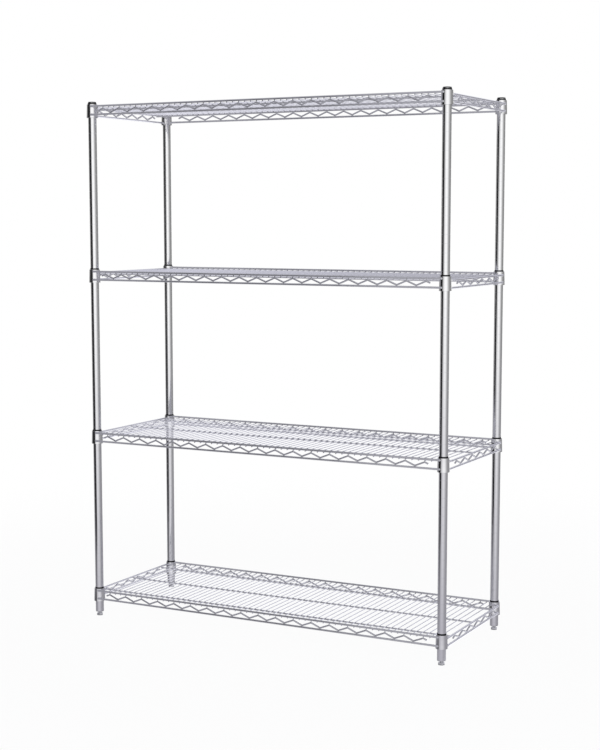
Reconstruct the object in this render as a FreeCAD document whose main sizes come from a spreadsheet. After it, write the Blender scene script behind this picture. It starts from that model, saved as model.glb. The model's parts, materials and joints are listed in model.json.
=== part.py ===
import FreeCAD, Part
import math
import os
import Sketcher

# A free-standing wire shelving unit: four grooved posts on levelling feet, and four welded
# wire shelves whose corner collars wedge on split sleeves that grip the post grooves.
# +X runs along the shelves, the front faces -Y, and z = 0 is the floor.

# Driving dimensions in millimetres; the names that end in count or groove are whole numbers
DIMENSIONS = {
    # Posts
    "post_span_x": 1181.0,
    "post_span_y": 422.0,
    "post_diameter": 25.4,
    "post_wall": 1.5,
    "post_bottom_height": 14.0,
    "post_length": 1603.0,
    "groove_pitch": 25.4,
    "groove_depth": 0.35,
    "groove_width": 1.4,
    "groove_draft": 0.1,
    "first_groove_height": 11.7,
    "groove_end_margin": 20.0,
    # Post caps
    "cap_diameter": 25.0,
    "cap_height": 3.5,
    "cap_edge_radius": 2.2,
    "cap_plug_length": 12.0,
    "cap_plug_gap": 0.05,
    # Shelf levels: the groove of the lowest shelf, counted from 0, and how far the rib that sits
    # in a groove lies below the middle of the collars, from which all of a shelf is measured
    "lowest_shelf_groove": 1,
    "rib_drop": 14.7,
    # Split sleeves
    "sleeve_top_diameter": 27.0,
    "sleeve_bottom_diameter": 29.6,
    "sleeve_height": 43.6,
    "sleeve_drop": 17.1,
    "sleeve_split": 1.0,
    "sleeve_post_gap": 0.05,
    "rib_depth": 0.22,
    "rib_crest": 0.5,
    "rib_root": 1.0,
    # Corner collars
    "collar_height": 40.6,
    "collar_drop": 18.1,
    "collar_wall": 2.25,
    "collar_chamfer": 0.3,
    "collar_clearance": 0.3,
    # Rim wires
    "rim_diameter": 6.0,
    "rim_offset": 15.2,
    "long_rim_rise": 16.7,
    "long_rim_drop": 8.8,
    "long_rim_setback": 4.0,
    "side_rim_rise": 11.5,
    "side_rim_drop": 10.1,
    "side_rim_setback": 7.0,
    # Deck wires and stringers
    "deck_diameter": 3.0,
    "deck_pitch": 20.0,
    "deck_end_setback": 0.5,
    "deck_collar_room": 2.0,
    "stringer_diameter": 4.8,
    "stringer_spacing": 170.0,
    # Snake wires: the bend radius is that of the wire's middle line
    "snake_diameter": 5.0,
    "snake_pitch_count": 3,
    "snake_bend_radius": 5.0,
    "snake_end_drop": 4.4,
    "snake_end_room": 35.0,
    "weld_gap": 0.05,
    # Threaded inserts in the lower post ends
    "insert_length": 30.0,
    "insert_flange_height": 1.5,
    "insert_flange_diameter": 24.6,
    "insert_gap": 0.05,
    # Levelling stems
    "stem_diameter": 10.0,
    "stem_length": 38.0,
    "thread_gap": 0.3,
    "hexagon_width": 17.0,
    "hexagon_height": 4.3,
    # Floor pads
    "pad_diameter": 19.0,
    "pad_height": 2.2,
    "pad_chamfer": 0.6,
    "pad_gap": 0.2,
    "stud_diameter": 5.0,
    "stud_height": 3.0,
    "stud_gap": 0.1,
}

SHELF_COUNT = 4
CORNERS = {
    "front_left": (-1, -1),
    "front_right": (1, -1),
    "back_left": (-1, 1),
    "back_right": (1, 1),
}

doc = FreeCAD.newDocument("wire_shelving_unit")
sheet = doc.addObject("Spreadsheet::Sheet", "sizes")
for row, (alias, number) in enumerate(DIMENSIONS.items(), start=1):
    sheet.set(f"A{row}", alias)
    sheet.set(f"B{row}", str(number))
    sheet.setAlias(f"B{row}", alias)
doc.recompute()

# Places and sizes that several pieces share, as expressions on the sheet
CORNER_X = "sizes.post_span_x / 2"
CORNER_Y = "sizes.post_span_y / 2"
RIM_X = f"({CORNER_X} + sizes.rim_offset)"
RIM_Y = f"({CORNER_Y} + sizes.rim_offset)"
RIM_RADIUS = "sizes.rim_diameter / 2"
POST_RADIUS = "sizes.post_diameter / 2"
BORE_RADIUS = f"({POST_RADIUS} - sizes.post_wall)"
COLLAR_TOP = "(sizes.collar_height - sizes.collar_drop)"
SLEEVE_TOP = "(sizes.sleeve_height - sizes.sleeve_drop)"
DECK_RISE = f"(sizes.long_rim_rise - {RIM_RADIUS} - sizes.deck_diameter / 2 - sizes.weld_gap)"
STRINGER_RISE = f"({DECK_RISE} - sizes.deck_diameter / 2 - sizes.stringer_diameter / 2 - sizes.weld_gap)"
HEXAGON_BOTTOM = "(sizes.pad_height + sizes.pad_gap)"
GROOVE_ROOM = "(sizes.post_length - sizes.first_groove_height - sizes.groove_end_margin)"
LAST_GROOVE = f"floor({GROOVE_ROOM} / sizes.groove_pitch)"


def value(expression):
    """The number that an expression on the sheet gives."""
    return float(sheet.evalExpression(expression))


def shelf_level(index):
    """Height of one shelf's collar middles: the shelves share out the grooves, index 0 is the lowest."""
    share = f"{index} / {SHELF_COUNT - 1} * ({LAST_GROOVE} - sizes.lowest_shelf_groove)"
    groove = f"(sizes.lowest_shelf_groove + floor({share} + 0.5))"
    rib = f"sizes.first_groove_height + {groove} * sizes.groove_pitch"
    return f"sizes.post_bottom_height + {rib} + sizes.rib_drop"


def sleeve_radius(height):
    """Outside radius of the sleeve's cone at a height above the shelf's middle plane."""
    share = f"({height} + sizes.sleeve_drop) / sizes.sleeve_height"
    taper = "(sizes.sleeve_top_diameter - sizes.sleeve_bottom_diameter)"
    return f"(sizes.sleeve_bottom_diameter + {share} * {taper}) / 2"


def collar_bore(height):
    """Radius of the collar's bore at a height above the shelf's middle plane."""
    return f"({sleeve_radius(height)} + sizes.collar_clearance)"


def collar_radius(height):
    """Outside radius of the collar at a height above the shelf's middle plane."""
    return f"({collar_bore(height)} + sizes.collar_wall)"


def origin_feature(body, role):
    return next(feature for feature in body.Origin.OriginFeatures if feature.Role == role)


def place(thing, x="0", y="0", z="0"):
    """Bind where a piece stands to expressions on the sheet."""
    for axis, expression in zip("xyz", (x, y, z)):
        thing.setExpression(f"Placement.Base.{axis}", expression)


def constrain(sketch, kind, where, expression):
    """Add one driving constraint whose value follows an expression."""
    index = sketch.addConstraint(Sketcher.Constraint(kind, *where, value(expression)))
    sketch.setExpression(f"Constraints[{index}]", expression)


def new_sketch(body, name, plane):
    sketch = body.newObject("Sketcher::SketchObject", name)
    sketch.AttachmentSupport = [(origin_feature(body, plane), "")]
    sketch.MapMode = "FlatFace"
    return sketch


def outline(body, name, plane, corners):
    """A closed sketch of straight sides, with every corner bound to the sheet."""
    sketch = new_sketch(body, name, plane)
    points = [FreeCAD.Vector(value(x), value(y), 0) for x, y in corners]
    for index, point in enumerate(points):
        following = points[(index + 1) % len(points)]
        sketch.addGeometry(Part.LineSegment(point, following), False)
    for index in range(len(points)):
        joint = (index, 2, (index + 1) % len(points), 1)
        sketch.addConstraint(Sketcher.Constraint("Coincident", *joint))
    for index, (x, y) in enumerate(corners):
        constrain(sketch, "DistanceX", (-1, 1, index, 1), x)
        constrain(sketch, "DistanceY", (-1, 1, index, 1), y)
    return sketch


def ring(body, name, plane, radius, x="0", y="0"):
    """A sketch of one circle bound to the sheet."""
    sketch = new_sketch(body, name, plane)
    centre = FreeCAD.Vector(value(x), value(y), 0)
    sketch.addGeometry(Part.Circle(centre, FreeCAD.Vector(0, 0, 1), value(radius)), False)
    constrain(sketch, "Radius", (0,), radius)
    constrain(sketch, "DistanceX", (-1, 1, 0, 3), x)
    constrain(sketch, "DistanceY", (-1, 1, 0, 3), y)
    return sketch


def turned(body, name, sketch, kind="PartDesign::Revolution"):
    """Turn a sketch once round the body's own vertical axis."""
    feature = body.newObject(kind, name)
    feature.Profile = sketch
    feature.ReferenceAxis = (sketch, ["V_Axis"])
    feature.Angle = 360
    doc.recompute()
    return feature


def repeated(body, name, original, axis, spacing, count):
    """Repeat a feature of a body in a row along an axis of the sketch it was made from."""
    row = body.newObject("PartDesign::LinearPattern", name)
    row.Originals = [original]
    row.Direction = (original.Profile[0], [axis])
    row.Mode = "Spacing"
    row.setExpression("Offset", spacing)
    row.setExpression("Occurrences", count)
    body.Tip = row
    doc.recompute()
    return row


def at_two_posts(body, name, axis, span):
    """Repeat all that a body holds once more, one post span away."""
    pair = body.newObject("PartDesign::LinearPattern", name)
    pair.TransformMode = "Whole shape"
    pair.Direction = (origin_feature(body, axis), [""])
    pair.Mode = "Spacing"
    pair.setExpression("Offset", span)
    pair.Occurrences = 2
    body.Tip = pair
    doc.recompute()


def at_front_and_back(body, name):
    at_two_posts(body, name, "Y_Axis", "sizes.post_span_y")


def at_four_corners(body, name):
    at_front_and_back(body, f"{name}_of_one_side")
    at_two_posts(body, name, "X_Axis", "sizes.post_span_x")


def new_body(label):
    return doc.addObject("PartDesign::Body", label)


def grooved_post(label):
    """A tube with a steep-sided groove every pitch, on which the sleeves lock."""
    body = new_body(label)
    wall = outline(body, "post_wall_outline", "XZ_Plane", [
        (BORE_RADIUS, "0"),
        (POST_RADIUS, "0"),
        (POST_RADIUS, "sizes.post_length"),
        (BORE_RADIUS, "sizes.post_length"),
    ])
    tube = turned(body, "post_tube", wall)
    floor_radius = f"({POST_RADIUS} - sizes.groove_depth)"
    outside = f"({POST_RADIUS} + sizes.groove_depth)"
    low = "(sizes.first_groove_height - sizes.groove_width / 2)"
    high = "(sizes.first_groove_height + sizes.groove_width / 2)"
    section = outline(body, "groove_section", "XZ_Plane", [
        (floor_radius, f"{low} + sizes.groove_draft"),
        (POST_RADIUS, low),
        (outside, low),
        (outside, high),
        (POST_RADIUS, high),
        (floor_radius, f"{high} - sizes.groove_draft"),
    ])
    groove = turned(body, "post_groove", section, "PartDesign::Groove")
    if groove.Shape.Volume >= tube.Shape.Volume:
        raise RuntimeError("the post groove cuts nothing")
    row = repeated(body, "post_grooves", groove, "V_Axis", "sizes.groove_pitch", f"{LAST_GROOVE} + 1")
    walls = [face for face in body.Shape.Faces if isinstance(face.Surface, Part.Cone)]
    if len(walls) != 2 * row.Occurrences:
        raise RuntimeError("the post lacks some of its grooves")
    return body


def edge_ring(shape, radius, height):
    """Name of the round edge with this radius at this height."""
    for number, edge in enumerate(shape.Edges, start=1):
        curve = edge.Curve
        if not isinstance(curve, Part.Circle):
            continue
        if abs(curve.Radius - radius) < 1e-6 and abs(curve.Center.z - height) < 1e-6:
            return f"Edge{number}"
    raise RuntimeError("the round edge is missing")


def post_cap(label):
    """A low rounded button with a plug that fills the post's bore; z = 0 is the post's end."""
    body = new_body(label)
    plug_radius = f"({BORE_RADIUS} - sizes.cap_plug_gap)"
    half = outline(body, "cap_outline", "XZ_Plane", [
        ("0", "-sizes.cap_plug_length"),
        (plug_radius, "-sizes.cap_plug_length"),
        (plug_radius, "0"),
        ("sizes.cap_diameter / 2", "0"),
        ("sizes.cap_diameter / 2", "sizes.cap_height"),
        ("0", "sizes.cap_height"),
    ])
    button = turned(body, "cap_button", half)
    edge = edge_ring(button.Shape, value("sizes.cap_diameter / 2"), value("sizes.cap_height"))
    rounding = body.newObject("PartDesign::Fillet", "cap_rounding")
    rounding.Base = (button, [edge])
    rounding.setExpression("Radius", "sizes.cap_edge_radius")
    body.Tip = rounding
    doc.recompute()
    return body


def threaded_insert(label):
    """A flanged bush in the lower post end; z = 0 is the post's end."""
    body = new_body(label)
    plug_radius = f"({BORE_RADIUS} - sizes.insert_gap)"
    hole_radius = "sizes.stem_diameter / 2 + sizes.thread_gap"
    wall = outline(body, "insert_outline", "XZ_Plane", [
        (hole_radius, "-sizes.insert_flange_height"),
        ("sizes.insert_flange_diameter / 2", "-sizes.insert_flange_height"),
        ("sizes.insert_flange_diameter / 2", "0"),
        (plug_radius, "0"),
        (plug_radius, "sizes.insert_length"),
        (hole_radius, "sizes.insert_length"),
    ])
    turned(body, "insert_bush", wall)
    return body


def levelling_stem(label):
    """A hexagon that is turned by hand or spanner, with the threaded stem on top of it."""
    body = new_body(label)
    corner = "sizes.hexagon_width / sqrt(3)"
    hexagon = outline(body, "hexagon_outline", "XY_Plane", [
        (f"{corner} * cos({angle} deg)", f"{corner} * sin({angle} deg)")
        for angle in range(0, 360, 60)
    ])
    head = body.newObject("PartDesign::Pad", "stem_hexagon")
    head.Profile = hexagon
    head.setExpression("Length", "sizes.hexagon_height")
    doc.recompute()
    round_section = ring(body, "stem_section", "XY_Plane", "sizes.stem_diameter / 2")
    shank = body.newObject("PartDesign::Pad", "stem_shank")
    shank.Profile = round_section
    shank.setExpression("Length", "sizes.hexagon_height + sizes.stem_length")
    doc.recompute()
    socket_section = ring(body, "socket_section", "XY_Plane", "sizes.stud_diameter / 2 + sizes.stud_gap")
    socket = body.newObject("PartDesign::Pocket", "stud_socket")
    socket.Profile = socket_section
    socket.Reversed = True
    socket.setExpression("Length", "sizes.stud_height")
    body.Tip = socket
    doc.recompute()
    if socket.Shape.Volume >= shank.Shape.Volume:
        raise RuntimeError("the stud socket cuts nothing")
    return body


def floor_pad(label):
    """A round pad that stays still on the floor, with the stud on which the stem turns."""
    body = new_body(label)
    pad_radius = "sizes.pad_diameter / 2"
    half = outline(body, "pad_outline", "XZ_Plane", [
        ("0", "0"),
        (f"{pad_radius} - sizes.pad_chamfer", "0"),
        (pad_radius, "sizes.pad_chamfer"),
        (pad_radius, "sizes.pad_height"),
        ("sizes.stud_diameter / 2", "sizes.pad_height"),
        ("sizes.stud_diameter / 2", "sizes.pad_height + sizes.stud_height"),
        ("0", "sizes.pad_height + sizes.stud_height"),
    ])
    turned(body, "pad_disc", half)
    return body


def split_sleeves(label):
    """The tapered sleeves of two posts, in halves whose inner rib sits in the post's groove."""
    body = new_body(label)
    inside = f"({POST_RADIUS} + sizes.sleeve_post_gap)"
    crest = f"({POST_RADIUS} - sizes.rib_depth)"
    wall = outline(body, "sleeve_outline", "XZ_Plane", [
        (inside, "-sizes.sleeve_drop"),
        ("sizes.sleeve_bottom_diameter / 2", "-sizes.sleeve_drop"),
        ("sizes.sleeve_top_diameter / 2", SLEEVE_TOP),
        (inside, SLEEVE_TOP),
        (inside, "sizes.rib_root / 2 - sizes.rib_drop"),
        (crest, "sizes.rib_crest / 2 - sizes.rib_drop"),
        (crest, "-sizes.rib_crest / 2 - sizes.rib_drop"),
        (inside, "-sizes.rib_root / 2 - sizes.rib_drop"),
    ])
    cone = turned(body, "sleeve_cone", wall)
    far = "sizes.sleeve_bottom_diameter"
    slot = outline(body, "split_outline", "XY_Plane", [
        (f"-{far}", "-sizes.sleeve_split / 2"),
        (far, "-sizes.sleeve_split / 2"),
        (far, "sizes.sleeve_split / 2"),
        (f"-{far}", "sizes.sleeve_split / 2"),
    ])
    split = body.newObject("PartDesign::Pocket", "sleeve_split")
    split.Profile = slot
    split.Midplane = True
    split.Type = "ThroughAll"
    body.Tip = split
    doc.recompute()
    if split.Shape.Volume >= cone.Shape.Volume:
        raise RuntimeError("the sleeve is not split")
    at_front_and_back(body, "sleeves_on_posts")
    return body


def corner_collars(label):
    """Four tapered rings of even wall that wedge on the sleeves."""
    body = new_body(label)
    bottom = "-sizes.collar_drop"
    low_shoulder = "(sizes.collar_chamfer - sizes.collar_drop)"
    high_shoulder = f"({COLLAR_TOP} - sizes.collar_chamfer)"
    wall = outline(body, "collar_outline", "XZ_Plane", [
        (collar_bore(bottom), bottom),
        (f"{collar_radius(bottom)} - sizes.collar_chamfer", bottom),
        (collar_radius(low_shoulder), low_shoulder),
        (collar_radius(high_shoulder), high_shoulder),
        (f"{collar_radius(COLLAR_TOP)} - sizes.collar_chamfer", COLLAR_TOP),
        (collar_bore(COLLAR_TOP), COLLAR_TOP),
    ])
    turned(body, "collar_cone", wall)
    at_four_corners(body, "collars_on_posts")
    return body


ALONG_X = FreeCAD.Rotation(FreeCAD.Vector(0, 1, 0), 90)
ALONG_Y = FreeCAD.Rotation(FreeCAD.Vector(1, 0, 0), -90)


def straight_wire(name, diameter, half_length, turn, across, height):
    """A round wire, centred on x = 0 or y = 0, at a place across and a height."""
    wire = doc.addObject("Part::Cylinder", name)
    wire.setExpression("Radius", f"{diameter} / 2")
    wire.setExpression("Height", f"2 * ({half_length})")
    wire.Placement = FreeCAD.Placement(FreeCAD.Vector(), turn)
    start = f"-({half_length})"
    if turn is ALONG_X:
        place(wire, start, across, height)
    else:
        place(wire, across, start, height)
    return wire


def group(label, pieces):
    """Pieces of one kind as separate solids under one name."""
    compound = doc.addObject("Part::Compound", label)
    compound.Links = pieces
    return compound


def collar_envelopes(name):
    """The outside of the four collars, run on past both ends, to shape what is welded to them."""
    reach = "sizes.rim_diameter"
    low = f"(-sizes.collar_drop - {reach})"
    high = f"({COLLAR_TOP} + {reach})"
    cones = []
    for corner, (side_x, side_y) in CORNERS.items():
        cone = doc.addObject("Part::Cone", f"{name}_{corner}")
        cone.setExpression("Radius1", f"{collar_radius(low)} + sizes.weld_gap")
        cone.setExpression("Radius2", f"{collar_radius(high)} + sizes.weld_gap")
        cone.setExpression("Height", f"{high} - {low}")
        place(cone, f"{side_x} * {CORNER_X}", f"{side_y} * {CORNER_Y}", low)
        cones.append(cone)
    return group(name, cones)


def coped(label, wires, envelopes):
    """Wires whose ends are shaped to lie on the collars."""
    cut = doc.addObject("Part::Cut", label)
    cut.Base = group(f"{label}_blanks", wires)
    cut.Tool = envelopes
    return cut


def long_rim_wires(label, envelopes):
    """The upper and lower rim wires of the front and the back."""
    half_length = f"{CORNER_X} - sizes.long_rim_setback"
    wires = [
        straight_wire(f"{label}_{name}", "sizes.rim_diameter", half_length, ALONG_X,
                      f"{side} * {RIM_Y}", height)
        for side in (-1, 1)
        for name, height in (("upper", "sizes.long_rim_rise"), ("lower", "-sizes.long_rim_drop"))
    ]
    return coped(label, wires, envelopes)


def side_rim_wires(label, envelopes):
    """The upper and lower rim wires of both sides."""
    half_length = f"{CORNER_Y} - sizes.side_rim_setback"
    wires = [
        straight_wire(f"{label}_{name}", "sizes.rim_diameter", half_length, ALONG_Y,
                      f"{side} * {RIM_X}", height)
        for side in (-1, 1)
        for name, height in (("upper", "sizes.side_rim_rise"), ("lower", "-sizes.side_rim_drop"))
    ]
    return coped(label, wires, envelopes)


def deck_wires(label, envelopes):
    """Wires from front to back under the long rims, and one more at each end between the collars."""
    widest = collar_radius("-sizes.collar_drop")
    room = f"({CORNER_X} - {widest} - sizes.deck_diameter / 2 - sizes.deck_collar_room)"
    steps = f"floor({room} / sizes.deck_pitch)"
    row = new_body(f"{label}_row")
    section = ring(row, "deck_section", "XZ_Plane", "sizes.deck_diameter / 2",
                   f"-{steps} * sizes.deck_pitch", DECK_RISE)
    wire = row.newObject("PartDesign::Pad", "deck_wire")
    wire.Profile = section
    wire.Midplane = True
    wire.setExpression("Length", f"2 * ({RIM_Y} - sizes.deck_end_setback)")
    doc.recompute()
    repeated(row, "deck_row", wire, "H_Axis", "sizes.deck_pitch", f"2 * {steps} + 1")
    end_wires = [
        straight_wire(f"{label}_end", "sizes.deck_diameter", CORNER_Y, ALONG_Y,
                      f"{side} * ({steps} + 1) * sizes.deck_pitch", DECK_RISE)
        for side in (-1, 1)
    ]
    return group(label, [row, coped(f"{label}_ends", end_wires, envelopes)])


def stringers(label):
    """Three wires along the shelf, under the deck wires, from side rim to side rim."""
    half_length = f"{RIM_X} - {RIM_RADIUS}"
    return group(label, [
        straight_wire(f"{label}_wire", "sizes.stringer_diameter", half_length, ALONG_X,
                      f"{row} * sizes.stringer_spacing", STRINGER_RISE)
        for row in (-1, 0, 1)
    ])


def snake_wire(peak_count, high, low):
    """A zigzag wire along X in the plane y = 0, with round bends that reach the two heights."""
    radius = value("sizes.snake_bend_radius")
    pitch = value("sizes.snake_pitch_count * sizes.deck_pitch")
    wire_radius = value("sizes.snake_diameter / 2")
    # The straight legs are inner tangents of the bends' circles
    rise = high - low - 2 * radius
    reach = math.hypot(pitch / 2, rise)
    slope = math.atan2(rise, pitch / 2) + math.asin(2 * radius / reach)
    away = radius * math.sin(slope)
    fall = radius * (1 - math.cos(slope))
    end_run = away + (value("sizes.snake_end_drop") - fall) / math.tan(slope)
    first = -(peak_count - 1) / 2 * pitch

    def point(x, z):
        return FreeCAD.Vector(x, 0, z)

    end_height = high - value("sizes.snake_end_drop")
    edges = []
    here = point(first - end_run, end_height)
    for bend in range(2 * peak_count - 1):
        x = first + bend * pitch / 2
        apex, inward = (high, -1) if bend % 2 == 0 else (low, 1)
        before = point(x - away, apex + inward * fall)
        after = point(x + away, apex + inward * fall)
        edges.append(Part.LineSegment(here, before).toShape())
        edges.append(Part.Arc(before, point(x, apex), after).toShape())
        here = after
    edges.append(Part.LineSegment(here, point(-first + end_run, end_height)).toShape())
    path = Part.Wire(edges)
    heading = edges[0].tangentAt(edges[0].FirstParameter)
    circle = Part.Circle(point(first - end_run, end_height), heading, wire_radius)
    solid = path.makePipeShell([Part.Wire([circle.toShape()])], True, False)
    expected = math.pi * wire_radius ** 2 * path.Length
    if abs(solid.Volume - expected) > 0.001 * expected:
        raise RuntimeError("the snake wire's volume is not its section times its length")
    return solid


def long_snake_wires(label):
    """The zigzags of the front and the back, from the lower rim up to the deck wires."""
    pitch = value("sizes.snake_pitch_count * sizes.deck_pitch")
    steps = math.floor((value(CORNER_X) - value("sizes.snake_end_room")) / pitch)
    inset = value("sizes.snake_diameter / 2 + sizes.weld_gap")
    high = value(f"{DECK_RISE} - sizes.deck_diameter / 2") - inset
    low = value(f"{RIM_RADIUS} - sizes.long_rim_drop") + inset
    wire = snake_wire(2 * steps + 1, high, low)
    wires = []
    for side in (-1, 1):
        copy = wire.copy()
        copy.translate(FreeCAD.Vector(0, side * value(RIM_Y), 0))
        wires.append(copy)
    feature = doc.addObject("Part::Feature", label)
    feature.Shape = Part.makeCompound(wires)
    return feature


def side_snake_wires(label):
    """The zigzags of the two sides, between their rim wires."""
    pitch = value("sizes.snake_pitch_count * sizes.deck_pitch")
    steps = math.floor((value(CORNER_Y) - value("sizes.snake_end_room")) / pitch + 0.5)
    inset = value(f"{RIM_RADIUS} + sizes.snake_diameter / 2 + sizes.weld_gap")
    high = value("sizes.side_rim_rise") - inset
    low = -value("sizes.side_rim_drop") + inset
    wire = snake_wire(2 * steps, high, low)
    wire.rotate(FreeCAD.Vector(), FreeCAD.Vector(0, 0, 1), 90)
    wires = []
    for side in (-1, 1):
        copy = wire.copy()
        copy.translate(FreeCAD.Vector(side * value(RIM_X), 0, 0))
        wires.append(copy)
    feature = doc.addObject("Part::Feature", label)
    feature.Shape = Part.makeCompound(wires)
    return feature


nodes = []

# Posts with what is fixed in their ends, and the levelling feet under them
for corner, (side_x, side_y) in CORNERS.items():
    x = f"{side_x} * {CORNER_X}"
    y = f"{side_y} * {CORNER_Y}"
    post_top = "sizes.post_bottom_height + sizes.post_length"
    stands = [
        (grooved_post(f"post_{corner}"), "sizes.post_bottom_height"),
        (post_cap(f"post_cap_{corner}"), post_top),
        (threaded_insert(f"foot_insert_{corner}"), "sizes.post_bottom_height"),
        (levelling_stem(f"levelling_stem_{corner}"), HEXAGON_BOTTOM),
        (floor_pad(f"floor_pad_{corner}"), "0"),
    ]
    for piece, height in stands:
        place(piece, x, y, height)
        nodes.append(piece)

# Shelves from the lowest up, each modelled round the middle of its collars
for index in range(SHELF_COUNT):
    shelf = f"shelf_{index + 1}"
    level = shelf_level(index)
    envelopes = collar_envelopes(f"{shelf}_collar_envelopes")
    on_posts = [
        (split_sleeves(f"{shelf}_left_sleeves"), f"-{CORNER_X}"),
        (split_sleeves(f"{shelf}_right_sleeves"), CORNER_X),
        (corner_collars(f"{shelf}_corner_collars"), f"-{CORNER_X}"),
    ]
    for piece, x in on_posts:
        place(piece, x, f"-{CORNER_Y}", level)
        nodes.append(piece)
    wires = [
        long_rim_wires(f"{shelf}_long_rim_wires", envelopes),
        side_rim_wires(f"{shelf}_side_rim_wires", envelopes),
        long_snake_wires(f"{shelf}_long_snake_wires"),
        side_snake_wires(f"{shelf}_side_snake_wires"),
        deck_wires(f"{shelf}_deck_wires", envelopes),
        stringers(f"{shelf}_stringers"),
    ]
    for piece in wires:
        place(piece, "0", "0", level)
        nodes.append(piece)

doc.recompute()

for thing in doc.Objects:
    if "Invalid" in thing.State or "Error" in thing.State:
        raise RuntimeError(f"{thing.Label} failed: {thing.State}")
for node in nodes:
    if node.Shape.isNull() or not node.Shape.isValid() or not node.Shape.Solids:
        raise RuntimeError(f"{node.Label} has no valid shape")

os.makedirs("parts", exist_ok=True)
for node in nodes:
    node.Shape.exportStep(f"parts/{node.Label}.step")
    box = node.Shape.BoundBox
    print(f"{node.Label}: {len(node.Shape.Solids)} solids, {node.Shape.Volume:.0f} mm3, "
          f"z {box.ZMin:.2f} to {box.ZMax:.2f}, x {box.XMin:.2f} to {box.XMax:.2f}, "
          f"y {box.YMin:.2f} to {box.YMax:.2f}")
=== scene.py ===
import json
import math
import random

import bpy
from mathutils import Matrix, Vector


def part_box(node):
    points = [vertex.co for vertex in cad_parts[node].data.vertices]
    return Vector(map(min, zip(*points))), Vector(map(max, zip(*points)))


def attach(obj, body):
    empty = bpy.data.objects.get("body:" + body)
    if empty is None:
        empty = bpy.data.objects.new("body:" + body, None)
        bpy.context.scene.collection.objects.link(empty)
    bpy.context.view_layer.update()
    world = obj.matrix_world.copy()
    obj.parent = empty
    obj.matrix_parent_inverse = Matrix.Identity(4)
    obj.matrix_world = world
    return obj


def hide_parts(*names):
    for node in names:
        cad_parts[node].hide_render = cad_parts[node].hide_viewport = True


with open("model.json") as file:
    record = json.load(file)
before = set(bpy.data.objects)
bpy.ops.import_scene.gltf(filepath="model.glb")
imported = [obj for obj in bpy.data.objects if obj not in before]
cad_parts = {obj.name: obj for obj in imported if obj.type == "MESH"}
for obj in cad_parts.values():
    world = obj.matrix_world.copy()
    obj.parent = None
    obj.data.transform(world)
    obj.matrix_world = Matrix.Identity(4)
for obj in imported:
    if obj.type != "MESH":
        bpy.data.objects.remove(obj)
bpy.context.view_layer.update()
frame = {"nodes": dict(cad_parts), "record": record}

# Camera, found from the posts, collars and rims of the photograph (600 by 750)
CAMERA_PLACE = (2.19900, -4.11640, 1.26544)
CAMERA_YAW = math.radians(27.642)
CAMERA_PITCH = math.radians(-6.417)
LEVEL_VIEW = math.radians(90)
IMAGE_HEIGHT = 750
FOCAL_PIXELS = 1516.74
PRINCIPAL_OFFSET = (5.52, 13.22)
SENSOR_SIZE = 36.0
FARTHEST_SEEN = 100.0

scene = bpy.context.scene
scene.view_settings.view_transform = "Standard"


def add_camera():
    data = bpy.data.cameras.new("photo_camera")
    data.sensor_width = SENSOR_SIZE
    data.lens = FOCAL_PIXELS / IMAGE_HEIGHT * SENSOR_SIZE
    data.shift_x = -PRINCIPAL_OFFSET[0] / IMAGE_HEIGHT
    data.shift_y = PRINCIPAL_OFFSET[1] / IMAGE_HEIGHT
    data.clip_end = FARTHEST_SEEN
    camera = bpy.data.objects.new("photo_camera", data)
    camera.location = CAMERA_PLACE
    camera.rotation_euler = (LEVEL_VIEW + CAMERA_PITCH, 0.0, CAMERA_YAW)
    scene.collection.objects.link(camera)
    scene.camera = camera


# The mix node's sockets for colours come after its sockets for numbers and vectors
MIX_COLOUR_INPUTS = (6, 7)
MIX_COLOUR_OUTPUT = 2

# Wear on edges: where the rounded and the true normal part, in uneven patches
EDGE_SAMPLES = 4
EDGE_LIKENESS = (0.99, 0.80)
WEAR_PATCHES = (0.35, 0.65)


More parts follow.
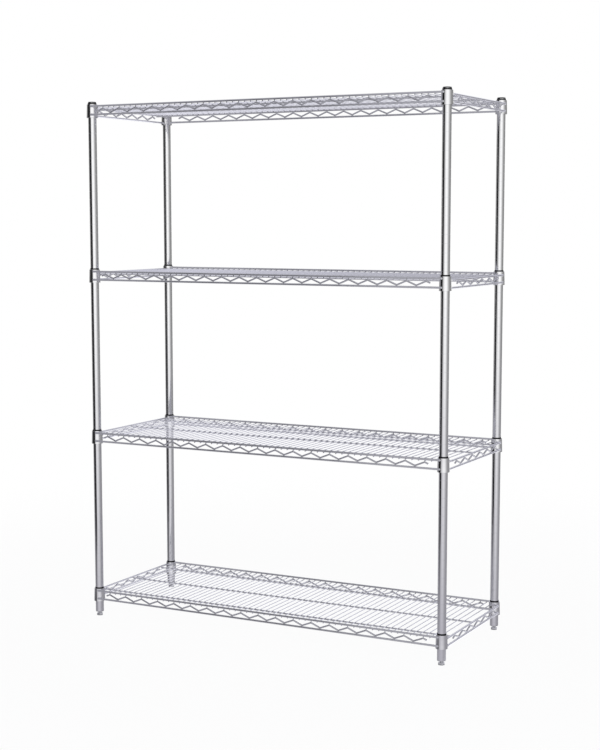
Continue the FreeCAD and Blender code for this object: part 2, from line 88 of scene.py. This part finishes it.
class Nodes:
    """Short calls for building one node tree."""

    def __init__(self, tree):
        self.tree = tree
        tree.nodes.clear()

    def add(self, kind, inputs=None, **settings):
        node = self.tree.nodes.new(kind)
        for name, setting in settings.items():
            setattr(node, name, setting)
        for name, source in (inputs or {}).items():
            socket = node.inputs[name]
            if isinstance(source, bpy.types.NodeSocket):
                self.tree.links.new(source, socket)
            else:
                socket.default_value = source
        return node

    def place(self):
        """The point's place in its own piece."""
        return self.add("ShaderNodeTexCoord").outputs["Object"]

    def math(self, operation, first, second=0.0):
        return self.add("ShaderNodeMath", {0: first, 1: second}, operation=operation).outputs[0]

    def linear(self, value, low, high):
        node = self.add("ShaderNodeMapRange", {"Value": value, "From Min": low, "From Max": high})
        return node.outputs["Result"]

    def smooth(self, value, low, high, start=0.0, end=1.0):
        node = self.add("ShaderNodeMapRange",
                        {"Value": value, "From Min": low, "From Max": high, "To Min": start, "To Max": end},
                        interpolation_type="SMOOTHSTEP")
        return node.outputs["Result"]

    def ramp(self, share, stops):
        """A colour that runs straight from stop to stop; stops maps a share from 0 to 1 to a colour."""
        node = self.add("ShaderNodeValToRGB", {"Fac": share})
        elements = node.color_ramp.elements
        places = sorted(stops)
        elements[0].position, elements[1].position = places[0], places[-1]
        for place in places[1:-1]:
            elements.new(place)
        for element, place in zip(elements, places):
            element.color = (*stops[place], 1.0)
        return node.outputs["Color"]

    def mix(self, share, first, second):
        node = self.add("ShaderNodeMix", {"Factor": share}, data_type="RGBA")
        for index, source in zip(MIX_COLOUR_INPUTS, (first, second)):
            if isinstance(source, bpy.types.NodeSocket):
                self.tree.links.new(source, node.inputs[index])
            else:
                node.inputs[index].default_value = (*source, 1.0)
        return node.outputs[MIX_COLOUR_OUTPUT]

    def noise(self, place, scale, detail):
        node = self.add("ShaderNodeTexNoise", {"Vector": place, "Scale": scale, "Detail": detail})
        return node.outputs["Fac"]

    def bump(self, relief, strength, distance):
        node = self.add("ShaderNodeBump", {"Height": relief, "Strength": strength, "Distance": distance})
        return node.outputs[0]

    def edges(self, width, patches):
        """How far a point lies on a worn edge."""
        rounded = self.add("ShaderNodeBevel", {"Radius": width}, samples=EDGE_SAMPLES).outputs["Normal"]
        true = self.add("ShaderNodeNewGeometry").outputs["Normal"]
        likeness = self.add("ShaderNodeVectorMath", {0: rounded, 1: true}, operation="DOT_PRODUCT")
        on_edge = self.smooth(likeness.outputs["Value"], *EDGE_LIKENESS)
        return self.math("MULTIPLY", on_edge, self.smooth(patches, *WEAR_PATCHES))


HALF_TURN = 180
FULL_TURN = 360
# The studio as metal sees it, by the angle round the vertical from the camera's side in degrees,
# positive on the camera's left: at eye level, above it, on the floor in front, far below,
# and steeply up or down
STUDIO_LEVEL = {-180: 0.22, -100: 0.26, -68: 0.35, -45: 0.66, -25: 0.96, -12: 1.03, 12: 1.02, 28: 0.82,
                42: 0.55, 60: 0.40, 180: 0.22}
STUDIO_ABOVE = {-180: 0.76, -110: 0.82, -60: 0.66, 0: 0.50, 30: 0.47, 60: 0.52, 150: 0.48, 172: 0.56,
                180: 0.76}
STUDIO_BELOW = {-180: 0.30, -60: 0.31, -30: 0.40, 0: 0.47, 23: 0.46, 60: 0.42, 100: 0.34, 180: 0.30}
STUDIO_DEEP = {-180: 1.45, -100: 1.45, -50: 0.65, 0: 0.46, 30: 0.45, 60: 0.48, 150: 0.41, 172: 0.53,
               180: 1.45}
STUDIO_POLES = {-180: 0.24, -100: 0.20, -60: 0.24, 0: 0.46, 30: 0.46, 60: 0.49, 150: 0.43, 180: 0.24}
LEVEL_TINT = (1.0, 1.0, 1.0)
ABOVE_TINT = (0.97, 0.97, 1.10)
BELOW_TINT = (1.0, 0.98, 1.09)
DEEP_TINT = (0.98, 0.98, 1.06)
POLES_TINT = (0.98, 0.98, 1.06)
# Elevations in degrees between which one level gives way to the next
ABOVE_FADE = (8, 16)
BELOW_FADE = (-16, -3)
DEEP_FADE = (-22, -15)
POLES_FADE = (31, 40)
# A black flag stands to the left of the unit: its sides, and its lower and upper edge,
# each as the two angles between which it fades
FLAG_START = (51, 67)
FLAG_END = (95, 125)
FLAG_BOTTOM = (-17, -10)
FLAG_TOP = (8, 16)
FLAG_BLACK = (0.012, 0.012, 0.013)
# The camera itself sees a plain white backdrop
WHITE = (1.0, 1.0, 1.0)
TO_CAMERA = Vector((CAMERA_PLACE[0], CAMERA_PLACE[1], 0.0)).normalized()
TO_LEFT = Vector((TO_CAMERA.y, -TO_CAMERA.x, 0.0))


def add_world():
    world = bpy.data.worlds.new("studio")
    scene.world = world
    world.use_nodes = True
    n = Nodes(world.node_tree)
    direction = n.add("ShaderNodeTexCoord").outputs["Generated"]
    axes = n.add("ShaderNodeSeparateXYZ", {"Vector": direction})

    def along(vector):
        x = n.math("MULTIPLY", axes.outputs["X"], vector.x)
        y = n.math("MULTIPLY", axes.outputs["Y"], vector.y)
        return n.math("ADD", x, y)

    turn = n.math("DEGREES", n.math("ARCTAN2", along(TO_LEFT), along(TO_CAMERA)))
    height = n.math("DEGREES", n.math("ARCSINE", axes.outputs["Z"]))
    turn_share = n.math("DIVIDE", n.math("ADD", turn, HALF_TURN), FULL_TURN)

    def studio(levels, tint):
        return n.ramp(turn_share, {(angle + HALF_TURN) / FULL_TURN: [level * share for share in tint]
                                   for angle, level in levels.items()})

    level = studio(STUDIO_LEVEL, LEVEL_TINT)
    with_front = n.mix(n.linear(height, *BELOW_FADE), studio(STUDIO_BELOW, BELOW_TINT), level)
    with_top = n.mix(n.smooth(height, *ABOVE_FADE), with_front, studio(STUDIO_ABOVE, ABOVE_TINT))
    with_deep = n.mix(n.smooth(height, *DEEP_FADE), studio(STUDIO_DEEP, DEEP_TINT), with_top)
    steepness = n.math("ABSOLUTE", height)
    surround = n.mix(n.smooth(steepness, *POLES_FADE), with_deep, studio(STUDIO_POLES, POLES_TINT))
    wide = n.math("MULTIPLY", n.smooth(turn, *FLAG_START), n.smooth(turn, *FLAG_END, 1.0, 0.0))
    high = n.math("MULTIPLY", n.smooth(height, *FLAG_BOTTOM), n.smooth(height, *FLAG_TOP, 1.0, 0.0))
    flagged = n.mix(n.math("MULTIPLY", wide, high), surround, FLAG_BLACK)
    rays = n.add("ShaderNodeLightPath")
    shown = n.mix(rays.outputs["Is Camera Ray"], flagged, WHITE)
    background = n.add("ShaderNodeBackground", {"Color": shown, "Strength": 1.0})
    n.add("ShaderNodeOutputWorld", {"Surface": background.outputs[0]})


KEY_PLACE = (2.5, -3.5, 4.0)
KEY_AIM = (0.0, 0.0, 0.8)
KEY_SIZE = 3.0
KEY_POWER = 60.0


def add_key_light():
    data = bpy.data.lights.new("soft_key", "AREA")
    data.size = KEY_SIZE
    data.energy = KEY_POWER
    light = bpy.data.objects.new("soft_key", data)
    light.location = KEY_PLACE
    light.rotation_euler = (Vector(KEY_AIM) - Vector(KEY_PLACE)).to_track_quat("-Z", "Y").to_euler()
    light.visible_glossy = False
    scene.collection.objects.link(light)


def new_material(name):
    material = bpy.data.materials.new(name)
    material.use_nodes = True
    return material, Nodes(material.node_tree)


def add_sheet(name, corners, material):
    """A flat sheet between four corners."""
    mesh = bpy.data.meshes.new(name)
    mesh.from_pydata(corners, [], [(0, 1, 2, 3)])
    mesh.materials.append(material)
    sheet = bpy.data.objects.new(name, mesh)
    scene.collection.objects.link(sheet)
    return sheet


# The floor shows the unit's shadow near by and melts into the white backdrop further out.
# It is mostly clear to the camera, so a foot that is screwed out below it stays in sight
FLOOR_HALF_SIZE = 30.0
FLOOR_CLEAR_SHARE = 0.96
FLOOR_MELT = (0.7, 3.0)
FLOOR_SHADES = ((0.78, 0.78, 0.79), (0.82, 0.82, 0.83))
FLOOR_CLOUDS = {"scale": 14.0, "detail": 4.0}


def add_floor():
    material, n = new_material("pale_floor")
    place = n.place()
    colour = n.mix(n.noise(place, **FLOOR_CLOUDS), *FLOOR_SHADES)
    lit = n.add("ShaderNodeBsdfDiffuse", {"Color": colour})
    clear = n.add("ShaderNodeBsdfTransparent")
    distance = n.add("ShaderNodeVectorMath", {0: place}, operation="LENGTH").outputs["Value"]
    rays = n.add("ShaderNodeLightPath")
    share = n.math("MULTIPLY", rays.outputs["Is Camera Ray"],
                   n.smooth(distance, *FLOOR_MELT, FLOOR_CLEAR_SHARE, 1.0))
    shown = n.add("ShaderNodeMixShader", {0: share, 1: lit.outputs[0], 2: clear.outputs[0]})
    n.add("ShaderNodeOutputMaterial", {"Surface": shown.outputs[0]})
    far = FLOOR_HALF_SIZE
    corners = [(-far, -far, 0), (far, -far, 0), (far, far, 0), (-far, far, 0)]
    floor = add_sheet("floor", corners, material)
    floor.visible_glossy = False


# A black card stands nearer by than the flag, on the same side, and only reflections show it: its two ends,
# each as a distance to the camera's left and one towards the camera, and its lower and upper edge
CARD_NEAR_END = (2.15, 2.01)
CARD_FAR_END = (2.27, 0.92)
CARD_BOTTOM = -0.25
CARD_TOP = 2.0
CARD_SHADES = ((0.010, 0.010, 0.011), (0.014, 0.014, 0.015))
CARD_CLOUDS = {"scale": 30.0, "detail": 3.0}


def add_card():
    material, n = new_material("black_cloth")
    colour = n.mix(n.noise(n.place(), **CARD_CLOUDS), *CARD_SHADES)
    cloth = n.add("ShaderNodeBsdfDiffuse", {"Color": colour})
    n.add("ShaderNodeOutputMaterial", {"Surface": cloth.outputs[0]})
    near, far = (TO_LEFT * left + TO_CAMERA * ahead for left, ahead in (CARD_NEAR_END, CARD_FAR_END))
    low, high = (Vector((0.0, 0.0, height)) for height in (CARD_BOTTOM, CARD_TOP))
    card = add_sheet("black_card", [near + low, far + low, far + high, near + high], material)
    card.visible_camera = False
    card.visible_diffuse = False
    card.visible_shadow = False


# Edges are rubbed dull on metal and pale on plastic
EDGE_WEAR_WIDTH = 0.0005
WEAR_ROUGHNESS = 0.12
WORN_PLATE = (0.70, 0.70, 0.71)
PALER = 1.6

# Bright plate: clouds, drawing lines, patches of wear and pin marks, and how deep lines and marks are
PLATE_CLOUDS = {"scale": 38.0, "detail": 3.0}
PLATE_CLOUD_RANGE = (0.3, 0.75)
PLATE_LINES = {"scale": 1.0, "detail": 2.0}
PLATE_PATCHES = {"scale": 160.0, "detail": 3.0}
PIN_DENSITY = 420.0
PIN_EDGE = (0.03, 0.09)
LINE_SHARE = 0.5
PIN_SHARE = 0.5
PLATE_RELIEF = {"strength": 0.02, "distance": 0.0004}


def chrome(name, low, high, smooth, rough, grain):
    """Bright plate: cloudy colour and gloss, fine drawing lines along the piece, and sparse pin marks."""
    material, n = new_material(name)
    place = n.place()
    cloud = n.noise(place, **PLATE_CLOUDS)
    stretch = n.add("ShaderNodeMapping", {"Vector": place, "Scale": grain})
    lines = n.noise(stretch.outputs[0], **PLATE_LINES)
    pins = n.add("ShaderNodeTexVoronoi", {"Vector": place, "Scale": PIN_DENSITY}).outputs["Distance"]
    pin_marks = n.smooth(pins, *PIN_EDGE)
    wear = n.edges(EDGE_WEAR_WIDTH, n.noise(place, **PLATE_PATCHES))
    gloss = n.math("ADD", n.smooth(cloud, *PLATE_CLOUD_RANGE, smooth, rough),
                   n.math("MULTIPLY", wear, WEAR_ROUGHNESS))
    colour = n.mix(wear, n.mix(cloud, low, high), WORN_PLATE)
    relief = n.math("ADD", n.math("MULTIPLY", lines, LINE_SHARE), n.math("MULTIPLY", pin_marks, PIN_SHARE))
    shader = n.add("ShaderNodeBsdfPrincipled", {
        "Base Color": colour, "Roughness": gloss, "Metallic": 1.0,
        "Normal": n.bump(relief, **PLATE_RELIEF),
    })
    n.add("ShaderNodeOutputMaterial", {"Surface": shader.outputs[0]})
    return material


# Moulded plastic: grain, clouds and patches of wear, and how deep the grain is
PLASTIC_GRAIN = {"scale": 900.0, "detail": 2.0}
PLASTIC_CLOUDS = {"scale": 60.0, "detail": 3.0}
PLASTIC_CLOUD_RANGE = (0.3, 0.7)
PLASTIC_PATCHES = {"scale": 220.0, "detail": 3.0}
PLASTIC_RELIEF = {"strength": 0.15, "distance": 0.0002}


def plastic(name, low, high, smooth, rough, shine):
    """Moulded plastic with a faint spark-eroded grain."""
    material, n = new_material(name)
    place = n.place()
    grain = n.noise(place, **PLASTIC_GRAIN)
    cloud = n.noise(place, **PLASTIC_CLOUDS)
    wear = n.edges(EDGE_WEAR_WIDTH, n.noise(place, **PLASTIC_PATCHES))
    shader = n.add("ShaderNodeBsdfPrincipled", {
        "Base Color": n.mix(wear, n.mix(cloud, low, high), [PALER * share for share in high]),
        "Roughness": n.smooth(cloud, *PLASTIC_CLOUD_RANGE, smooth, rough),
        "Metallic": 0.0, "Specular IOR Level": shine,
        "Normal": n.bump(grain, **PLASTIC_RELIEF),
    })
    n.add("ShaderNodeOutputMaterial", {"Surface": shader.outputs[0]})
    return material


# How the plate's drawing lines are squeezed across the piece and stretched along it
ALONG_X = (6, 900, 900)
ALONG_Y = (900, 6, 900)
ALONG_Z = (900, 900, 6)
NO_DIRECTION = (300, 300, 300)

# Each finish: its darker and lighter shade, its smooth and rough spots, and how strongly plastic shines
POST_PLATE = ((0.92, 0.92, 0.93), (0.96, 0.96, 0.97), 0.04, 0.08)
COLLAR_PLATE = ((0.92, 0.92, 0.93), (0.96, 0.96, 0.97), 0.05, 0.09)
WIRE_PLATE = ((0.74, 0.74, 0.76), (0.82, 0.82, 0.84), 0.08, 0.16)
WELD_PLATE = ((0.56, 0.56, 0.58), (0.70, 0.70, 0.72), 0.18, 0.34)
ZINC = ((0.82, 0.82, 0.83), (0.90, 0.90, 0.91), 0.22, 0.36)
BLACK = ((0.006, 0.006, 0.007), (0.010, 0.010, 0.011), 0.42, 0.56, 0.2)
CAP_BLACK = ((0.010, 0.010, 0.011), (0.018, 0.018, 0.019), 0.26, 0.40, 0.8)
GREY = ((0.42, 0.42, 0.43), (0.50, 0.50, 0.51), 0.45, 0.60, 0.3)

CHROME_ALONG_X = chrome("chrome_wire_along", *WIRE_PLATE, ALONG_X)
CHROME_ALONG_Y = chrome("chrome_wire_across", *WIRE_PLATE, ALONG_Y)
CHROME_BENT = chrome("chrome_wire_bent", *WIRE_PLATE, NO_DIRECTION)
CHROME_WELD = chrome("chrome_over_weld", *WELD_PLATE, NO_DIRECTION)
ZINC_PLATE = chrome("zinc_plate", *ZINC, NO_DIRECTION)
SLOT_MATERIALS = {
    "chrome_post": chrome("chrome_post_plate", *POST_PLATE, ALONG_Z),
    "chrome_collar": chrome("chrome_collar_plate", *COLLAR_PLATE, NO_DIRECTION),
    "zinc_steel": ZINC_PLATE,
    "black_plastic": plastic("black_moulded", *BLACK),
    "grey_plastic": plastic("grey_moulded", *GREY),
}
CAP_MATERIAL = plastic("black_cap", *CAP_BLACK)
WIRE_MATERIALS = {
    "long_rim_wires": CHROME_ALONG_X,
    "stringers": CHROME_ALONG_X,
    "side_rim_wires": CHROME_ALONG_Y,
    "deck_wires": CHROME_ALONG_Y,
    "long_snake_wires": CHROME_BENT,
    "side_snake_wires": CHROME_BENT,
}


def dress_nodes():
    """Gives each node its material; a shelf's wires are known by what follows the shelf's name."""
    slots = {entry["node"]: entry["material_slot"] for entry in frame["record"]["subparts"]}
    for name, node in frame["nodes"].items():
        wire_kind = name.split("_", 2)[-1]
        material = WIRE_MATERIALS.get(wire_kind) or SLOT_MATERIALS[slots[name]]
        if name.startswith("post_cap"):
            material = CAP_MATERIAL
        node.data.materials.clear()
        node.data.materials.append(material)


def add_piece(name, points, faces, material, body):
    """A smooth-shaded mesh piece that moves with a body."""
    mesh = bpy.data.meshes.new(name)
    mesh.from_pydata(points, [], faces)
    mesh.polygons.foreach_set("use_smooth", [True] * len(mesh.polygons))
    mesh.materials.append(material)
    piece = bpy.data.objects.new(name, mesh)
    scene.collection.objects.link(piece)
    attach(piece, body)
    return piece


CORNERS = ("front_left", "front_right", "back_left", "back_right")
SHELVES = ("shelf_1", "shelf_2", "shelf_3", "shelf_4")

# Levelling stems: a chamfered hexagon under a rolled thread
HEXAGON_HEIGHT = 0.0043
HEXAGON_CHAMFER = 0.0007
HEXAGON_SIDE_TURN = math.radians(60)
STEM_RADIUS = 0.005
SOCKET_RADIUS = 0.0026
SOCKET_DEPTH = 0.003
STEM_SIDES = 48
STEM_SHARP_EDGE = math.radians(35)
# The thread: how steep its flanks are, how much of the root is flat, and how it runs out at its ends
THREAD_PITCH = 0.0015
THREAD_DEPTH = 0.0008
THREAD_FLANK = 1.6
THREAD_ROOT = 0.3
THREAD_RUNOUT = 0.0012
THREAD_STEPS = 10
TIP_CHAMFER = 0.0003


def clamp(share):
    return min(1.0, max(0.0, share))


def hexagon_radius(angle, across_flats):
    """Distance from the middle to the hexagon's edge; a corner lies at angle 0."""
    from_flat = angle % HEXAGON_SIDE_TURN - HEXAGON_SIDE_TURN / 2
    return across_flats / 2 / math.cos(from_flat)


def thread_radius(angle, height, bottom, top):
    """Radius of the rolled thread, which runs out at both ends of the shank."""
    turns = (height / THREAD_PITCH - angle / (2 * math.pi)) % 1.0
    crest = clamp(THREAD_FLANK * abs(2 * turns - 1) - THREAD_ROOT)
    from_bottom = clamp((height - bottom) / THREAD_RUNOUT)
    from_top = clamp((top - height) / THREAD_RUNOUT)
    valley = THREAD_DEPTH * (1 - crest) * min(from_bottom, from_top)
    return STEM_RADIUS - valley - TIP_CHAMFER * (1 - from_top)


def ring_faces(count, sides):
    """Faces that join rings of points one after the other and close both ends."""
    faces = []
    for row in range(count - 1):
        lower, upper = row * sides, (row + 1) * sides
        for side in range(sides):
            following = (side + 1) % sides
            faces.append((lower + side, lower + following, upper + following, upper + side))
    last = (count - 1) * sides
    faces.append(tuple(range(sides - 1, -1, -1)))
    faces.append(tuple(last + side for side in range(sides)))
    return faces


def add_stem(corner):
    node = f"levelling_stem_{corner}"
    low, high = (Vector(point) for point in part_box(node))
    middle = (low + high) / 2
    across_flats = high.y - low.y
    hexagon_top = low.z + HEXAGON_HEIGHT
    angles = [2 * math.pi * step / STEM_SIDES for step in range(STEM_SIDES)]
    rings = []

    def add_ring(height, radius_at):
        rings.append([(middle.x + radius_at(angle) * math.cos(angle),
                       middle.y + radius_at(angle) * math.sin(angle), height) for angle in angles])

    def socket(angle):
        return SOCKET_RADIUS

    def hexagon(angle):
        return hexagon_radius(angle, across_flats)

    def chamfered(angle):
        return min(hexagon(angle), across_flats / 2 + HEXAGON_CHAMFER / 2)

    def shank(angle):
        return STEM_RADIUS

    add_ring(low.z + SOCKET_DEPTH, socket)
    add_ring(low.z, socket)
    add_ring(low.z, chamfered)
    add_ring(low.z + HEXAGON_CHAMFER, hexagon)
    add_ring(hexagon_top - HEXAGON_CHAMFER, hexagon)
    add_ring(hexagon_top, chamfered)
    add_ring(hexagon_top, shank)
    rows = round((high.z - hexagon_top) / THREAD_PITCH * THREAD_STEPS)
    for row in range(1, rows + 1):
        height = hexagon_top + (high.z - hexagon_top) * row / rows
        add_ring(height, lambda angle: thread_radius(angle, height, hexagon_top, high.z))
    points = [point for ring in rings for point in ring]
    faces = ring_faces(len(rings), STEM_SIDES)
    stem = add_piece(f"threaded_stem_{corner}", points, faces, ZINC_PLATE, node)
    stem.data.set_sharp_from_angle(angle=STEM_SHARP_EDGE)
    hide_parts(node)


# Resistance welds: a small flattened bead wherever two wires of a shelf cross
DECK_PITCH = 0.020
SNAKE_PITCH = 0.060
RIM_RADIUS = 0.003
STRINGER_ROWS = (-0.170, 0.0, 0.170)
BEAD_RADIUS = 0.0016
BEAD_HALF_HEIGHT = 0.0005
BEAD_SIDES = 8
BEAD_SPREAD = 0.25
# The bead's rings between its two tips, each as a share of its half height and of its radius
BEAD_RINGS = ((-0.6, 0.7), (0.0, 1.0), (0.6, 0.7))
# How blunt a seam's ends are: the smaller, the blunter
SEAM_BLUNTNESS = 0.4


class BeadMesh:
    """Collects the beads of one shelf in one mesh."""

    def __init__(self, seed):
        self.points = []
        self.faces = []
        self.chance = random.Random(seed)

    def uneven(self):
        return self.chance.uniform(-BEAD_SPREAD, BEAD_SPREAD)

    def bead(self, x, y, z):
        """A lens with an uneven edge."""
        first = len(self.points)
        size = 1 + self.uneven()
        radii = [BEAD_RADIUS * size * (1 + self.uneven() / 2) for _ in range(BEAD_SIDES)]
        self.points.append((x, y, z - BEAD_HALF_HEIGHT))
        for height, share in BEAD_RINGS:
            for side, radius in enumerate(radii):
                angle = 2 * math.pi * side / BEAD_SIDES
                self.points.append((x + share * radius * math.cos(angle),
                                    y + share * radius * math.sin(angle),
                                    z + height * BEAD_HALF_HEIGHT))
        self.points.append((x, y, z + BEAD_HALF_HEIGHT))
        low_tip, top_tip = first, len(self.points) - 1
        rows = [first + 1 + BEAD_SIDES * row for row in range(len(BEAD_RINGS))]
        for side in range(BEAD_SIDES):
            following = (side + 1) % BEAD_SIDES
            self.faces.append((low_tip, rows[0] + following, rows[0] + side))
            for lower, upper in zip(rows, rows[1:]):
                self.faces.append((lower + side, lower + following, upper + following, upper + side))
            self.faces.append((rows[-1] + side, rows[-1] + following, top_tip))

    def seam(self, path, radius):
        """A round bead along a path of points, thinner towards its ends."""
        first = len(self.points)
        count = len(path)
        for index, point in enumerate(path):
            ahead = path[min(index + 1, count - 1)] - path[max(index - 1, 0)]
            ahead.normalize()
            across = ahead.orthogonal().normalized()
            other = ahead.cross(across)
            share = math.sin(math.pi * (index + 0.5) / count) ** SEAM_BLUNTNESS
            ripple = 1 + self.uneven() / 2
            for side in range(BEAD_SIDES):
                angle = 2 * math.pi * side / BEAD_SIDES
                offset = across * math.cos(angle) + other * math.sin(angle)
                self.points.append(tuple(point + offset * radius * share * ripple))
        for face in ring_faces(count, BEAD_SIDES):
            self.faces.append(tuple(first + index for index in face))


def in_row(low, high, pitch):
    """Places a pitch apart, in the middle of a stretch."""
    count = math.floor((high - low) / pitch) + 1
    return [(low + high) / 2 + (index - (count - 1) / 2) * pitch for index in range(count)]


def add_deck_beads(welds, low, high):
    """Beads where the deck wires cross the stringers and the long rims."""
    deck_places = in_row(low["deck_wires"].x, high["deck_wires"].x, DECK_PITCH)
    stringer_top = (low["deck_wires"].z + high["stringers"].z) / 2
    rim_y = high["long_rim_wires"].y - RIM_RADIUS
    rim_bottom = high["long_rim_wires"].z - 2 * RIM_RADIUS
    for x in deck_places:
        for y in STRINGER_ROWS:
            welds.bead(x, y, stringer_top)
    for x in deck_places[1:-1]:
        for y in (-rim_y + BEAD_RADIUS, rim_y - BEAD_RADIUS):
            welds.bead(x, y, rim_bottom)


def add_snake_beads(welds, low, high):
    """Beads where the peaks and valleys of the zigzags meet the rims."""
    long_peaks = in_row(low["long_snake_wires"].x, high["long_snake_wires"].x, SNAKE_PITCH)
    side_peaks = in_row(low["side_snake_wires"].y, high["side_snake_wires"].y, SNAKE_PITCH)
    long_rim_y = high["long_rim_wires"].y - RIM_RADIUS
    side_rim_x = high["side_rim_wires"].x - RIM_RADIUS
    long_low = low["long_rim_wires"].z + 2 * RIM_RADIUS
    side_low = low["side_rim_wires"].z + 2 * RIM_RADIUS
    side_high = high["side_rim_wires"].z - 2 * RIM_RADIUS
    for side in (-1, 1):
        for x in long_peaks:
            welds.bead(x, side * long_rim_y, low["deck_wires"].z)
        for x, following in zip(long_peaks, long_peaks[1:]):
            welds.bead((x + following) / 2, side * long_rim_y, long_low)
        for y in side_peaks:
            welds.bead(side * side_rim_x, y, side_high)
        for y, following in zip(side_peaks, side_peaks[1:]):
            welds.bead(side * side_rim_x, (y + following) / 2, side_low)


# Rim wires meet the corner collars in seams
SEAM_RADIUS = 0.0009
SEAM_STEPS = 48
SHORTEST_SEAM = 3
COLLAR_TOP_RADIUS = 0.0162
LONG_RIM_SETBACK = 0.004
SIDE_RIM_SETBACK = 0.007


def seam_paths(shelf, post_x, post_y):
    """Where the rim wires of one corner meet its collar's cone."""
    low, high = (Vector(point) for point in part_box(f"{shelf}_corner_collars"))
    bottom_radius = high.x - abs(post_x)

    def cone_radius(z):
        return bottom_radius + (COLLAR_TOP_RADIUS - bottom_radius) * (z - low.z) / (high.z - low.z)

    for kind, setback in (("long", LONG_RIM_SETBACK), ("side", SIDE_RIM_SETBACK)):
        rim_low, rim_high = (Vector(point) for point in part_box(f"{shelf}_{kind}_rim_wires"))
        reach = rim_high.y - abs(post_y) if kind == "long" else rim_high.x - abs(post_x)
        for height in (rim_low.z + RIM_RADIUS, rim_high.z - RIM_RADIUS):
            path = []
            for step in range(SEAM_STEPS):
                angle = 2 * math.pi * step / SEAM_STEPS
                out = reach - RIM_RADIUS + RIM_RADIUS * math.cos(angle)
                z = height + RIM_RADIUS * math.sin(angle)
                inside = cone_radius(z) ** 2 - out ** 2
                if inside < setback ** 2:
                    continue
                along = math.sqrt(inside)
                x, y = (-along, out) if kind == "long" else (out, -along)
                path.append(Vector((post_x + math.copysign(1, post_x) * x,
                                    post_y + math.copysign(1, post_y) * y, z)))
            if len(path) >= SHORTEST_SEAM:
                yield path


def add_collar_seams(welds, shelf):
    """Seams between the rims and the collars at all four corners."""
    post_low, post_high = (Vector(point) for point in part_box("post_front_left"))
    post = (post_low + post_high) / 2
    for post_x in (post.x, -post.x):
        for post_y in (post.y, -post.y):
            for path in seam_paths(shelf, post_x, post_y):
                welds.seam(path, SEAM_RADIUS)


def add_welds(shelf):
    low, high = {}, {}
    for kind in WIRE_MATERIALS:
        low[kind], high[kind] = (Vector(point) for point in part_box(f"{shelf}_{kind}"))
    welds = BeadMesh(shelf)
    add_deck_beads(welds, low, high)
    add_snake_beads(welds, low, high)
    add_collar_seams(welds, shelf)
    add_piece(f"{shelf}_welds", welds.points, welds.faces, CHROME_WELD, shelf)


add_camera()
add_world()
add_floor()
add_card()
add_key_light()
dress_nodes()
for corner in CORNERS:
    add_stem(corner)
for shelf in SHELVES:
    add_welds(shelf)
